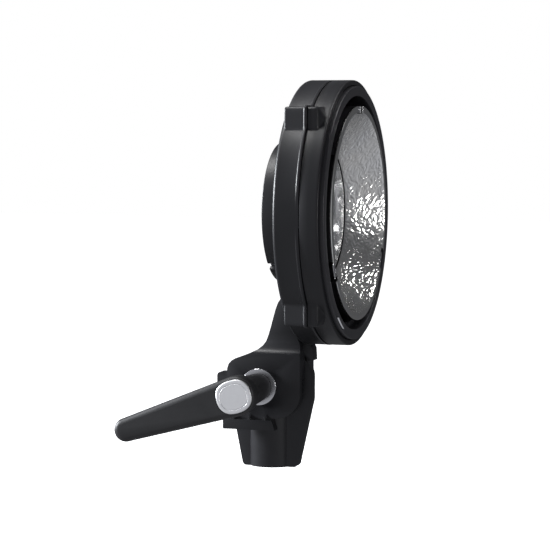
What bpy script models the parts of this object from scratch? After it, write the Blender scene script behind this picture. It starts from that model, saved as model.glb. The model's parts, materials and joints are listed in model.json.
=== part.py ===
"""Reflector adapter for a small flash head: ring, dish, tilting fork, clamp lever and stand socket.

Metres, +Z up.  The origin is the centre of the stand socket's mouth, +X is the way the dish
looks, and the clamp lever is on the -Y side.
"""
import math

import bmesh
import bpy
from mathutils import Matrix, Vector

MM = 0.001
GAP = 0.3 * MM                      # clearance left between touching pieces
MERGE = 0.001 * MM                  # points closer than this become one
HOLE_PHASE = 7.0                    # degrees
RING_STEPS = 48                     # facets round the ring's turned pieces

# driving dimensions
RING_AXIS_Z = 147.5 * MM            # height of the dish's axis above the socket mouth
RING_R = 75.5 * MM                  # outside of the ring housing
RING_WALL_R = 73.3 * MM             # inside of the rear housing's rim
FRONT_WALL_R = 74.0 * MM            # inside of the front housing's rim
COLLAR_R = 40.0 * MM                # rear collar that takes the lamp head
COLLAR_BORE_R = 37.6 * MM
WALL_HOLE_R = 39.4 * MM             # hole in the rear wall that the collar's spigot fits
DISH_R = 61.0 * MM                  # dish flange
THROAT_R = 37.5 * MM                # small end of the dish
LUG_HALF_Y = 58.5 * MM              # flats of the four corner lugs
LUG_HALF_Z = 60.3 * MM
PIVOT_X = -2.6 * MM                 # tilt axis, along Y
PIVOT_Z = 47.5 * MM
CHEEK_OUT_Y = 14.6 * MM             # fork cheeks
CHEEK_IN_Y = 9.6 * MM
WEB_HALF_Y = 4.3 * MM               # web in front of the tongue
STUD_BORE_R = 8.1 * MM              # takes a 16 mm stand stud
BOSS_R = 12.0 * MM                  # half the boss's length along X
BOSS_HALF_Y = 9.2 * MM              # half its width, which the fork swings past
HUB_HALF_Y = 9.3 * MM
KNOB_Z = 9.0 * MM                   # height of the stand locking screw
LEVER_DROP = math.radians(18.4)     # the lever hangs this far below the horizontal
LEVER_LENGTH = 69.0 * MM            # pivot to the centre of the lever's round tip
BADGE_HALF_LONG = 10.3 * MM
BADGE_HALF_WIDE = 9.3 * MM
BADGE_SHIFT = 0.5 * MM              # from the pivot towards the lever's tip
BADGE_SQUARENESS = 0.84             # 1 would be a true ellipse
BADGE_STEPS = 36
NOTCH_ANGLES = (90.0, 210.0, 330.0)  # bayonet notches, counted from +Y towards +Z
COLLAR_NOTCH_ANGLES = (48.0, 228.0)

# places along the dish's axis
COLLAR_BACK_X = 6.9 * MM
WALL_BACK_X = 23.8 * MM
WALL_FRONT_X = 26.2 * MM
SEAM_BACK_X = 37.3 * MM
SEAM_FRONT_X = 38.7 * MM
FRONT_BACK_X = 39.0 * MM
FRONT_FACE_X = 49.7 * MM
DRUM_FRONT_X = 51.9 * MM
DISH_BACK_X = 34.5 * MM
DISH_FRONT_X = 53.4 * MM

RING_CENTRE = Vector((0.0, 0.0, RING_AXIS_Z))
PIVOT = Vector((PIVOT_X, 0.0, PIVOT_Z))
KNOB_CENTRE = Vector((0.0, 0.0, KNOB_Z))
AXES = {"X": Vector((1, 0, 0)), "Y": Vector((0, 1, 0)), "Z": Vector((0, 0, 1))}


# ---- general tools -------------------------------------------------------------------------

def clear_scene():
    for item in list(bpy.data.objects):
        bpy.data.objects.remove(item, do_unlink=True)


def make_material(name, colour, roughness, metallic=0.0):
    material = bpy.data.materials.new(name)
    material.use_nodes = True
    shader = material.node_tree.nodes["Principled BSDF"]
    shader.inputs["Base Color"].default_value = (*colour, 1.0)
    shader.inputs["Roughness"].default_value = roughness
    shader.inputs["Metallic"].default_value = metallic
    return material


def add_object(name, bm, material=None, parent=None):
    """Turn a bmesh into an object, with its faces pointing outwards."""
    bmesh.ops.remove_doubles(bm, verts=bm.verts, dist=MERGE)
    bmesh.ops.recalc_face_normals(bm, faces=bm.faces)
    mesh = bpy.data.meshes.new(name)
    bm.to_mesh(mesh)
    bm.free()
    mesh.shade_smooth()
    mesh.set_sharp_from_angle(angle=math.radians(35))
    item = bpy.data.objects.new(name, mesh)
    bpy.context.scene.collection.objects.link(item)
    if material is not None:
        mesh.materials.append(material)
    if parent is not None:
        item.parent = parent
        item.matrix_parent_inverse = Matrix.Translation(parent.location).inverted()
    return item


def add_pivot(name, place):
    """An empty on a joint's axis, which the moving pieces are parented to."""
    pivot = bpy.data.objects.new(name, None)
    pivot.location = place
    bpy.context.scene.collection.objects.link(pivot)
    return pivot


def guide(name, bm):
    """A shape that only cuts or extends another one."""
    item = add_object(name, bm)
    item.hide_render = True
    item.display_type = "WIRE"
    return item


def combine(target, other, operation):
    modifier = target.modifiers.new(other.name, "BOOLEAN")
    modifier.operation = operation
    modifier.object = other
    modifier.solver = "EXACT"


def cut(target, *cutters):
    for cutter in cutters:
        combine(target, cutter, "DIFFERENCE")


def join(target, *others):
    for other in others:
        combine(target, other, "UNION")


def axis_point(axis, along, radius):
    if axis == "X":
        return Vector((along, 0.0, radius))
    if axis == "Y":
        return Vector((radius, along, 0.0))
    return Vector((radius, 0.0, along))


def turned(profile, axis, centre, steps, closed=True, phase=0.0):
    """Spin a profile of (along, radius) points.  An open one starts and ends on the axis."""
    bm = bmesh.new()
    verts = [bm.verts.new(centre + axis_point(axis, along, radius)) for along, radius in profile]
    edges = [bm.edges.new(pair) for pair in zip(verts, verts[1:])]
    if closed:
        edges.append(bm.edges.new((verts[-1], verts[0])))
    bmesh.ops.spin(bm, geom=verts + edges, cent=centre, axis=AXES[axis],
                   angle=2 * math.pi, steps=steps, use_merge=True)
    bmesh.ops.remove_doubles(bm, verts=bm.verts, dist=MERGE)
    turn = Matrix.Rotation(math.radians(phase), 3, axis)
    bmesh.ops.rotate(bm, verts=bm.verts, cent=centre, matrix=turn)
    return bm


def rod(axis, centre, low, high, radius, steps=20, phase=0.0):
    profile = [(low, 0.0), (low, radius), (high, radius), (high, 0.0)]
    return turned(profile, axis, centre, steps, closed=False, phase=phase)


def hole(axis, centre, low, high, radius, steps=12):
    """A cutter, turned a little so that its corners miss the edges of what it cuts."""
    return rod(axis, centre, low, high, radius, steps, phase=HOLE_PHASE)


def tube(axis, centre, low, high, inner, outer, steps=24):
    profile = [(low, inner), (low, outer), (high, outer), (high, inner)]
    return turned(profile, axis, centre, steps)


def prism(outline, axis, low, high):
    """Extrude an outline: (x, z) points along Y, or (y, z) points along X."""
    bm = bmesh.new()
    if axis == "Y":
        verts = [bm.verts.new((a, low, b)) for a, b in outline]
    else:
        verts = [bm.verts.new((low, a, b)) for a, b in outline]
    face = bm.faces.new(verts)
    extruded = bmesh.ops.extrude_face_region(bm, geom=[face])["geom"]
    moved = [part for part in extruded if isinstance(part, bmesh.types.BMVert)]
    bmesh.ops.translate(bm, verts=moved, vec=AXES[axis] * (high - low))
    return bm


def block(low, high):
    bm = bmesh.new()
    bmesh.ops.create_cube(bm, size=1.0)
    size = [b - a for a, b in zip(low, high)]
    middle = [(a + b) / 2 for a, b in zip(low, high)]
    bmesh.ops.scale(bm, verts=bm.verts, vec=size)
    bmesh.ops.translate(bm, verts=bm.verts, vec=middle)
    return bm


def arc_points(centre, radius, start, end, steps):
    """Points of a round stretch of an outline, angles in degrees."""
    points = []
    for step in range(steps + 1):
        angle = math.radians(start + (end - start) * step / steps)
        points.append((centre[0] + radius * math.cos(angle), centre[1] + radius * math.sin(angle)))
    return points


def arc_block(x_range, r_range, start, end, steps):
    """A block bent round the dish's axis between two angles, in degrees from +Y towards +Z."""
    bm = bmesh.new()
    corners = [(x_range[0], r_range[0]), (x_range[1], r_range[0]),
               (x_range[1], r_range[1]), (x_range[0], r_range[1])]
    sections = []
    for step in range(steps + 1):
        angle = math.radians(start + (end - start) * step / steps)
        across = Vector((0.0, math.cos(angle), math.sin(angle)))
        sections.append([bm.verts.new(RING_CENTRE + AXES["X"] * x + across * r) for x, r in corners])
    for section, following in zip(sections, sections[1:]):
        for i in range(4):
            j = (i + 1) % 4
            bm.faces.new((section[i], section[j], following[j], following[i]))
    bm.faces.new(sections[0])
    bm.faces.new(sections[-1])
    return bm


def notch_block(angle, width, x_range, r_range):
    """A straight-sided block that points outwards from the dish's axis."""
    bm = block((x_range[0], r_range[0], -width / 2), (x_range[1], r_range[1], width / 2))
    turn = Matrix.Rotation(math.radians(angle), 4, "X")
    bmesh.ops.transform(bm, matrix=Matrix.Translation(RING_CENTRE) @ turn, verts=bm.verts)
    return bm


def screw(axis, centre, stops, radii, phase=0.0):
    """A plain screw, or its hole: stops are its top, the underside of its head, and its tip."""
    top, underside, tip = stops
    head_r, shaft_r = radii
    profile = [(top, 0.0), (top, head_r), (underside, head_r), (underside, shaft_r),
               (tip, shaft_r), (tip, 0.0)]
    return turned(profile, axis, centre, 10, closed=False, phase=phase)


def add_screws(name, centres, stops, radii, material, parent):
    """A set of like screws along X, each an object of its own."""
    for number, centre in enumerate(centres):
        add_object(f"{name}_{number + 1}", screw("X", centre, stops, radii), material, parent)


# ---- ring housing --------------------------------------------------------------------------

def lug_angles():
    """Directions of the housing's outline points, with one on each end and corner of a lug."""
    corner = math.degrees(math.atan2(LUG_HALF_Z, LUG_HALF_Y))
    first = math.degrees(math.acos(LUG_HALF_Y / RING_R))
    last = math.degrees(math.asin(LUG_HALF_Z / RING_R))
    quarter = [first * step / 5 for step in range(6)]
    quarter += [corner]
    quarter += [last + (90.0 - last) * step / 5 for step in range(5)]
    angles = list(quarter)
    angles += [180.0 - angle for angle in reversed(quarter[1:])]
    angles.insert(len(quarter), 90.0)
    angles += [180.0 + angle for angle in quarter]
    angles += [270.0]
    angles += [360.0 - angle for angle in reversed(quarter[1:])]
    return angles


def lug_radius(angle, extra):
    """Radius of the round outline with its four square corners, grown by extra at the corners."""
    across = abs(math.cos(math.radians(angle)))
    up = abs(math.sin(math.radians(angle)))
    corner_low = math.degrees(math.acos(LUG_HALF_Y / RING_R)) - 0.01
    corner_high = math.degrees(math.asin(LUG_HALF_Z / RING_R)) + 0.01
    folded = math.degrees(math.atan2(up, across))
    if corner_low <= folded <= corner_high:
        return min((LUG_HALF_Y + extra) / across, (LUG_HALF_Z + extra) / up)
    share = min(folded / corner_low, (90.0 - folded) / (90.0 - corner_high))
    return RING_R + extra * max(share, RIB_LEAST)


def housing_loft(sections):
    """Bridge a closed loop of (x, radius, kind) sections; kind is round, lug or a growth of lug."""
    bm = bmesh.new()
    angles = lug_angles()
    rings = []
    for x, radius, grown in sections:
        ring = []
        for angle in angles:
            r = radius if grown is None else lug_radius(angle, grown)
            direction = Vector((0.0, math.cos(math.radians(angle)), math.sin(math.radians(angle))))
            ring.append(bm.verts.new(RING_CENTRE + AXES["X"] * x + direction * r))
        rings.append(ring)
    count = len(angles)
    for ring, following in zip(rings, rings[1:] + rings[:1]):
        for i in range(count):
            j = (i + 1) % count
            bm.faces.new((ring[i], ring[j], following[j], following[i]))
    bmesh.ops.remove_doubles(bm, verts=bm.verts, dist=MERGE)
    bmesh.ops.dissolve_degenerate(bm, edges=bm.edges, dist=MERGE)
    return bm


LUG_SCREW_Y = 54.4 * MM
LUG_SCREW_Z = 56.1 * MM
RIB_GROWTH = 1.2 * MM               # height of the seam rib beside the lugs
RIB_LEAST = 0.1                     # share of it that is left at the top and sides of the ring
SEAT_R = (67.5 * MM, 69.5 * MM)
FORK_SCREW_Y = 5.0 * MM
FORK_SCREW_Z = 99.0 * MM
DRUM_SCREW_R = 63.0 * MM


def lug_screw_centres():
    for side in (-1, 1):
        for up in (-1, 1):
            yield Vector((0.0, side * LUG_SCREW_Y, RING_AXIS_Z + up * LUG_SCREW_Z))


def fork_screw_centres():
    for side in (-1, 1):
        yield Vector((0.0, side * FORK_SCREW_Y, FORK_SCREW_Z))


def drum_screw_centres():
    for angle in (30.0, 150.0, 270.0):
        turn = math.radians(angle)
        across = Vector((0.0, math.cos(turn), math.sin(turn)))
        yield RING_CENTRE + across * DRUM_SCREW_R


def make_rear_housing(material, parent):
    """Rear half of the ring with its wall, seam rib and the lock ring's seat."""
    sections = [
        (WALL_BACK_X, WALL_HOLE_R, None), (WALL_BACK_X, RING_R, None),
        (WALL_BACK_X + 1.8 * MM, RING_R, None), (WALL_BACK_X + 1.8 * MM, 0.0, 0.0),
        (SEAM_BACK_X, 0.0, 0.0), (SEAM_BACK_X, 0.0, RIB_GROWTH),
        (SEAM_FRONT_X, 0.0, RIB_GROWTH), (SEAM_FRONT_X, RING_WALL_R, None),
        (WALL_FRONT_X, RING_WALL_R, None), (WALL_FRONT_X, SEAT_R[1], None),
        (SEAM_FRONT_X, SEAT_R[1], None), (SEAM_FRONT_X, SEAT_R[0], None),
        (WALL_FRONT_X, SEAT_R[0], None), (WALL_FRONT_X, WALL_HOLE_R, None),
    ]
    housing = add_object("rear_housing", housing_loft(sections), material, parent)
    holes = []
    for centre in lug_screw_centres():
        stops = (24.0 * MM, 28.6 * MM, 40.0 * MM)
        holes.append(screw("X", centre, stops, (3.0 * MM, 1.7 * MM), HOLE_PHASE))
    for centre in fork_screw_centres():
        holes.append(hole("X", centre, 22.0 * MM, 28.0 * MM, 1.8 * MM))
    for centre in drum_screw_centres():
        holes.append(hole("X", centre, 24.4 * MM, 28.0 * MM, 1.5 * MM))
    for number, shape in enumerate(holes):
        cut(housing, guide(f"rear_hole_{number}", shape))
    return housing


def make_lamp_collar(material, parent):
    """Collar behind the ring that takes the lamp head, with its spigot through the rear wall."""
    shoulder_x = WALL_BACK_X - GAP
    profile = [(COLLAR_BACK_X, COLLAR_BORE_R), (COLLAR_BACK_X, COLLAR_R), (shoulder_x, COLLAR_R),
               (shoulder_x, WALL_HOLE_R - GAP), (28.4 * MM, WALL_HOLE_R - GAP), (28.4 * MM, COLLAR_BORE_R)]
    collar = add_object("lamp_collar", turned(profile, "X", RING_CENTRE, RING_STEPS), material, parent)
    for number, angle in enumerate(COLLAR_NOTCH_ANGLES):
        slot = notch_block(angle, 5.0 * MM, (5.0 * MM, 23.0 * MM), (36.0 * MM, 42.0 * MM))
        cut(collar, guide(f"collar_notch_{number}", slot))
    return collar


def make_front_housing(material, parent):
    """Front half of the ring, with the lip that holds the lock ring in."""
    sections = [
        (FRONT_BACK_X, FRONT_WALL_R, None), (FRONT_BACK_X, 0.0, 0.0),
        (44.5 * MM, 0.0, 0.0), (48.0 * MM, RING_R, None),
        (FRONT_FACE_X, RING_R, None), (FRONT_FACE_X, 72.4 * MM, None),
        (47.7 * MM, 72.4 * MM, None), (47.7 * MM, FRONT_WALL_R, None),
    ]
    housing = add_object("front_housing", housing_loft(sections), material, parent)
    for number, centre in enumerate(lug_screw_centres()):
        cut(housing, guide(f"front_hole_{number}", hole("X", centre, 38.0 * MM, 43.5 * MM, 1.6 * MM)))
    return housing


def make_housing_screws(material, parent):
    """Four screws that hold the two halves of the ring together, sunk in the lugs."""
    stops = (26.2 * MM, 28.3 * MM, 43.0 * MM)
    add_screws("housing_screw", lug_screw_centres(), stops, (2.6 * MM, 1.3 * MM), material, parent)


def make_lock_ring(material, parent):
    """Turning ring behind the front lip, with three claws that reach into the bayonet gap."""
    profile = [(39.1 * MM, 66.5 * MM), (39.1 * MM, 73.6 * MM), (47.4 * MM, 73.6 * MM),
               (47.4 * MM, 72.0 * MM), (52.0 * MM, 72.0 * MM), (52.0 * MM, 66.5 * MM)]
    ring = add_object("lock_ring", turned(profile, "X", RING_CENTRE, RING_STEPS), material, parent)
    for number, angle in enumerate((45.0, 165.0, 285.0)):
        claw = arc_block((42.0 * MM, 45.0 * MM), (63.8 * MM, 67.5 * MM), angle - 9.5, angle + 9.2, 3)
        join(ring, guide(f"claw_{number}", claw))
    slot = arc_block((50.0 * MM, 53.0 * MM), (70.5 * MM, 71.4 * MM), 231.0, 244.0, 3)
    cut(ring, guide("catch_slot", slot))
    return ring


def make_ring_catch(material, parent):
    """Spring-steel leaf that sits in a slot of the lock ring's face."""
    leaf = arc_block((50.3 * MM, 53.0 * MM), (70.75 * MM, 71.1 * MM), 232.0, 243.0, 3)
    return add_object("ring_catch", leaf, material, parent)


# ---- drum and dish -------------------------------------------------------------------------

def make_bayonet_drum(material, parent):
    """Inner drum that carries the dish and the bayonet lands."""
    profile = [(26.5 * MM, 54.0 * MM), (26.5 * MM, 66.0 * MM), (28.3 * MM, 66.0 * MM),
               (28.3 * MM, 60.0 * MM), (DRUM_FRONT_X, 60.0 * MM), (DRUM_FRONT_X, 57.6 * MM),
               (28.3 * MM, 57.6 * MM), (28.3 * MM, 54.0 * MM)]
    drum = add_object("bayonet_drum", turned(profile, "X", RING_CENTRE, RING_STEPS), material, parent)
    for number, angle in enumerate(NOTCH_ANGLES):
        land = arc_block((45.0 * MM, DRUM_FRONT_X), (59.5 * MM, 61.0 * MM), angle + 3.0, angle + 56.0, 9)
        join(drum, guide(f"land_{number}", land))
    for number, angle in enumerate(NOTCH_ANGLES):
        notch = notch_block(angle, 12.5 * MM, (44.0 * MM, 55.0 * MM), (56.5 * MM, 63.0 * MM))
        cut(drum, guide(f"drum_notch_{number}", notch))
    for number, centre in enumerate(drum_screw_centres()):
        cut(drum, guide(f"drum_hole_{number}", hole("X", centre, 25.0 * MM, 29.0 * MM, 1.5 * MM)))
    return drum


def make_drum_screws(material, parent):
    stops = (30.4 * MM, 28.6 * MM, 24.7 * MM)
    add_screws("drum_screw", drum_screw_centres(), stops, (2.2 * MM, 1.2 * MM), material, parent)


def dish_radius(part):
    """Radius of the dish's front face, part running from 0 at the throat to 1 at the rim."""
    return THROAT_R + (57.3 * MM - THROAT_R) * part ** 0.92


def make_reflector(material, parent):
    """Spun dish: a bowl with a flat flange, cut by the three bayonet notches."""
    sheet = 0.75 * MM
    steps = 4
    front = []
    back = []
    for step in range(steps + 1):
        part = step / steps
        x = DISH_BACK_X + (DISH_FRONT_X - DISH_BACK_X) * part
        front.append((x, dish_radius(part)))
        back.append((x - sheet, dish_radius(part) + sheet))
    flange_back_x = DISH_FRONT_X - 1.2 * MM
    back[-1] = (flange_back_x, 57.2 * MM)
    profile = front + [(DISH_FRONT_X, DISH_R), (flange_back_x, DISH_R)] + back[::-1]
    dish = add_object("reflector", turned(profile, "X", RING_CENTRE, RING_STEPS), material, parent)
    for number, angle in enumerate(NOTCH_ANGLES):
        notch = notch_block(angle, 12.5 * MM, (44.0 * MM, 55.0 * MM), (56.5 * MM, 63.0 * MM))
        cut(dish, guide(f"dish_notch_{number}", notch))
    return dish


def make_reflector_clips(material, parent):
    """One bent metal clip in each notch."""
    for number, angle in enumerate(NOTCH_ANGLES):
        plate = notch_block(angle, 9.0 * MM, (51.8 * MM, 52.6 * MM), (56.9 * MM, 60.6 * MM))
        clip = add_object(f"reflector_clip_{number + 1}", plate, material, parent)
        leg = notch_block(angle, 7.0 * MM, (44.3 * MM, 52.2 * MM), (59.6 * MM, 60.4 * MM))
        join(clip, guide(f"clip_leg_{number}", leg))


def make_throat_sleeve(material, parent):
    sleeve = tube("X", RING_CENTRE, 7.4 * MM, 34.0 * MM, 36.2 * MM, 37.2 * MM, RING_STEPS)
    return add_object("throat_sleeve", sleeve, material, parent)


# ---- fork ----------------------------------------------------------------------------------

def fork_outline():
    """Side view of the fork, in (x, z): ledge, cheek, shoulder, neck and back edge."""
    corner = arc_points((7.4, 44.0), 14.5, -90.0, 0.0, 6)
    front = [(7.4, 22.7), (5.4, 28.9)] + corner + [(21.9, 66.6)]
    neck = [(20.4, 73.4), (17.0, 79.0), (16.6, 84.0), (19.0, 88.0), (23.5, 91.0), (23.5, 112.0),
            (9.9, 112.0), (9.9, 99.4), (6.0, 92.4), (3.6, 83.1), (1.5, 76.4)]
    back = [(0.6, 73.0), (-2.9, 69.9), (-7.0, 67.4), (-13.0, 64.7), (-17.6, 62.9),
            (-20.6, 60.8), (-21.9, 57.6), (-22.6, 30.0), (-23.8, 28.5), (-23.8, 22.7)]
    return [(x * MM, z * MM) for x, z in front + neck + back]


def web_outline():
    """Side view of the narrow web that closes the neck in front of the tongue."""
    points = [(16.0, 62.5), (27.0, 62.5), (26.6, 69.4), (25.6, 71.2), (21.0, 71.6), (16.0, 76.0)]
    return [(x * MM, z * MM) for x, z in points]


def neck_side_outline(side):
    """(y, z) outline of what is taken off beside the neck, with a hollow ramp at its foot."""
    points = [(24.0, 67.0)]
    for step in range(5):
        turn = math.radians(90.0 * step / 4)
        points.append((14.6 - 4.6 * math.sin(turn), 76.0 - 9.0 * math.cos(turn)))
    points += [(10.0, 120.0), (24.0, 120.0)]
    return [(side * y * MM, z * MM) for y, z in points]


def hub_room_outline():
    """Side view of the space between the cheeks: round over the hub, square over the boss."""
    low_end = 13.0                  # degrees, in front of the hub
    high_end = 150.0                # higher behind, where the boss comes when the head looks up
    top = arc_points((PIVOT_X, PIVOT_Z), 20.0 * MM, low_end, high_end, 13)
    left = [(-31.0 * MM, top[-1][1]), (-31.0 * MM, 10.0 * MM)]
    right = [(31.0 * MM, 10.0 * MM), (31.0 * MM, top[0][1])]
    return left + right + top


def make_fork(material, parent):
    """Forked arm: two cheeks, a hollow-sided neck and the stiffening ledges under the cheeks."""
    reach = 16.5 * MM
    fork = add_object("tilt_fork", prism(fork_outline(), "Y", -reach, reach), material, parent)
    for side in (-1, 1):
        low, high = sorted((side * CHEEK_OUT_Y, side * 20.0 * MM))
        face = block((-40.0 * MM, low, 28.5 * MM), (40.0 * MM, high, 120.0 * MM))
        cut(fork, guide(f"cheek_face_{side + 1}", face))
        cut(fork, guide(f"neck_side_{side + 1}", prism(neck_side_outline(side), "X", -30.0 * MM, 31.0 * MM)))
        for number, x in enumerate((-17.4, -8.0, 1.5)):
            rise = [(13.0, 27.0), (16.2, 27.0), (16.2, 28.7), (14.4, 32.0), (13.0, 32.0)]
            rib = prism([(side * y * MM, z * MM) for y, z in rise], "X", (x - 0.7) * MM, (x + 0.7) * MM)
            join(fork, guide(f"gusset_{side + 1}_{number}", rib))
    join(fork, guide("web", prism(web_outline(), "Y", -WEB_HALF_Y, WEB_HALF_Y)))
    cut(fork, guide("hub_room", prism(hub_room_outline(), "Y", -CHEEK_IN_Y, CHEEK_IN_Y)))
    cut(fork, guide("tongue_room", rod("Y", PIVOT, -4.6 * MM, 4.6 * MM, 30.3 * MM, 40, HOLE_PHASE)))
    cut(fork, guide("bolt_room", hole("Y", PIVOT, -20.0 * MM, 20.0 * MM, 4.3 * MM, 20)))
    cut(fork, guide("nut_pocket", rod("Y", PIVOT, 11.6 * MM, 21.0 * MM, 7.9 * MM, 6)))
    cut(fork, guide("collar_room", hole("X", RING_CENTRE, 0.0, 23.65 * MM, COLLAR_R + GAP, RING_STEPS)))
    for number, centre in enumerate(fork_screw_centres()):
        cut(fork, guide(f"neck_hole_{number}", hole("X", centre, 13.0 * MM, 24.0 * MM, 1.8 * MM)))
    return fork


def make_fork_screws(material, parent):
    stops = (28.3 * MM, 26.5 * MM, 13.4 * MM)
    add_screws("fork_screw", fork_screw_centres(), stops, (2.8 * MM, 1.5 * MM), material, parent)


# ---- stand side ----------------------------------------------------------------------------

def socket_outline():
    """Side view of the tongue and its wings, in (x, z)."""
    foot_front = arc_points((15.0, 2.6), 2.6, -90.0, 0.0, 3)
    foot_back = arc_points((-13.4, 2.6), 2.6, 180.0, 270.0, 3)
    front = [(25.2, 37.0), (25.7, 39.0), (25.8, 55.0), (20.5, 65.4), (12.0, 69.5), (4.0, 69.5)]
    rear_corner = arc_points((-29.2, 51.8), 2.2, 90.0, 180.0, 4)
    top = [(-6.0, 65.0), (-15.0, 60.0), (-20.0, 54.4)] + rear_corner + [(-31.4, 47.0)]
    back = [(-29.0, 39.0), (-21.2, 30.0), (-20.0, 22.7)]
    points = foot_back + foot_front + front + top + back
    return [(x * MM, z * MM) for x, z in points]


def make_stand_socket(material, parent):
    """Tongue, hub and boss in one casting, bored from below for the stand stud."""
    socket = add_object("stand_socket", prism(socket_outline(), "Y", -3.8 * MM, 3.8 * MM), material, parent)
    origin = Vector((0.0, 0.0, 0.0))
    hub = guide("hub", rod("Y", PIVOT, -HUB_HALF_Y, HUB_HALF_Y, 19.0 * MM, 28))
    oval = rod("Z", origin, 0.0, 41.0 * MM, BOSS_R, 36, 3.0)
    bmesh.ops.scale(oval, verts=oval.verts, vec=(1.0, BOSS_HALF_Y / BOSS_R, 1.0))
    join(socket, hub, guide("boss", oval))
    join(socket, guide("screw_boss", rod("Y", KNOB_CENTRE, 7.0 * MM, 17.2 * MM, 5.2 * MM, 20, 5.0)))
    cut(socket, guide("stud_bore", hole("Z", origin, -2.0 * MM, 35.0 * MM, STUD_BORE_R, 32)))
    cut(socket, guide("bush_bore", hole("Y", PIVOT, -12.0 * MM, 12.0 * MM, 6.2 * MM, 20)))
    cut(socket, guide("screw_bore", hole("Y", KNOB_CENTRE, 2.0 * MM, 19.0 * MM, 3.9 * MM, 16)))
    for side in (-1, 1):
        low, high = sorted((side * 8.3 * MM, side * 12.0 * MM))
        cut(socket, guide(f"disc_seat_{side + 1}", hole("Y", PIVOT, low, high, 11.1 * MM, 24)))
    return socket


def make_pivot_bush(material, parent):
    bush = tube("Y", PIVOT, -8.1 * MM, 8.1 * MM, 4.2 * MM, 5.9 * MM, 20)
    return add_object("pivot_bush", bush, material, parent)


def make_friction_discs(material, parent):
    for name, side in (("friction_disc_near", -1), ("friction_disc_far", 1)):
        low, high = sorted((side * 8.6 * MM, side * 9.4 * MM))
        add_object(name, tube("Y", PIVOT, low, high, 4.5 * MM, 10.8 * MM, 24), material, parent)


def make_screw_insert(material, parent):
    insert = tube("Y", KNOB_CENTRE, 11.0 * MM, 17.0 * MM, 2.7 * MM, 3.6 * MM, 16)
    return add_object("stand_screw_insert", insert, material, parent)


def make_clamp_shoe(material, parent):
    shoe = rod("Y", KNOB_CENTRE, 8.3 * MM, 10.3 * MM, 3.5 * MM, 16)
    return add_object("clamp_shoe", shoe, material, parent)


def make_stand_knob(knob_material, screw_material, parent):
    """Lobed knob moulded onto the screw that presses the shoe against the stud."""
    outline = []
    for step in range(36):
        angle = 2 * math.pi * step / 36
        radius = (7.4 + 0.6 * math.cos(6 * angle)) * MM
        outline.append((radius * math.cos(angle), KNOB_Z + radius * math.sin(angle)))
    knob = add_object("stand_knob", prism(outline, "Y", 19.2 * MM, 31.2 * MM), knob_material, parent)
    cut(knob, guide("knob_bore", hole("Y", KNOB_CENTRE, 17.0 * MM, 27.0 * MM, 2.7 * MM, 16)))
    stem = rod("Y", KNOB_CENTRE, 10.6 * MM, 26.7 * MM, 2.4 * MM, 16)
    add_object("stand_screw", stem, screw_material, parent)


# ---- clamp ---------------------------------------------------------------------------------

def make_clamp_bolt(material, parent):
    """Hexagon bolt held from turning by the far cheek, with its thread towards the lever."""
    bolt = add_object("clamp_bolt", rod("Y", PIVOT, -24.6 * MM, 12.4 * MM, 3.9 * MM, 24), material, parent)
    join(bolt, guide("bolt_head", rod("Y", PIVOT, 11.9 * MM, 16.8 * MM, 7.5 * MM, 6)))
    return bolt


def make_clamp_washer(material, parent):
    washer = tube("Y", PIVOT, -15.9 * MM, -14.9 * MM, 4.3 * MM, 10.5 * MM, 32)
    return add_object("clamp_washer", washer, material, parent)


def make_lever_insert(material, parent):
    """Threaded steel insert that the lever's hub grips, with the retaining screw's hole."""
    profile = [(-25.0, 0.0), (-25.0, 4.2), (-16.2, 4.2), (-16.2, 6.0), (-26.5, 6.0),
               (-26.5, 4.6), (-32.4, 4.6), (-32.4, 2.2), (-26.2, 2.2), (-26.2, 0.0)]
    points = [(along * MM, radius * MM) for along, radius in profile]
    return add_object("lever_insert", turned(points, "Y", PIVOT, 16, closed=False), material, parent)


def make_lever_screw(material, parent):
    made = screw("Y", PIVOT, (-50.0 * MM, -47.0 * MM, -26.8 * MM), (4.4 * MM, 1.8 * MM))
    return add_object("lever_screw", made, material, parent)


def make_lever_spring(material, parent):
    """Coil spring between the retaining screw's head and the lever's inner shoulder."""
    turns = 5
    steps_per_turn = 8
    coil_r = 3.5 * MM
    low = -46.2 * MM
    high = -36.8 * MM
    curve = bpy.data.curves.new("lever_spring", "CURVE")
    curve.dimensions = "3D"
    curve.bevel_depth = 0.4 * MM
    curve.bevel_resolution = 1
    curve.use_fill_caps = True
    spline = curve.splines.new("POLY")
    count = turns * steps_per_turn
    spline.points.add(count)
    for step in range(count + 1):
        angle = 2 * math.pi * step / steps_per_turn
        along = low + (high - low) * step / count
        place = PIVOT + Vector((coil_r * math.cos(angle), along, coil_r * math.sin(angle)))
        spline.points[step].co = (*(place - PIVOT), 1.0)
    spring = bpy.data.objects.new("lever_spring", curve)
    bpy.context.scene.collection.objects.link(spring)
    curve.materials.append(material)
    spring.parent = parent
    spring.location = PIVOT - parent.location
    return spring


def lever_outline():
    """Side view of the lever's arm: round hub end, straight tapering sides and round tip."""
    drop = math.degrees(LEVER_DROP)
    back = 180.0 + drop
    tip_x = PIVOT_X - LEVER_LENGTH * math.cos(LEVER_DROP)
    tip_z = PIVOT_Z - LEVER_LENGTH * math.sin(LEVER_DROP)
    hub = arc_points((PIVOT_X, PIVOT_Z), 11.2 * MM, back - 266.0, back - 94.0, 10)
    tip = arc_points((tip_x, tip_z), 6.6 * MM, back - 86.0, back + 86.0, 8)
    return hub + tip


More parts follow.
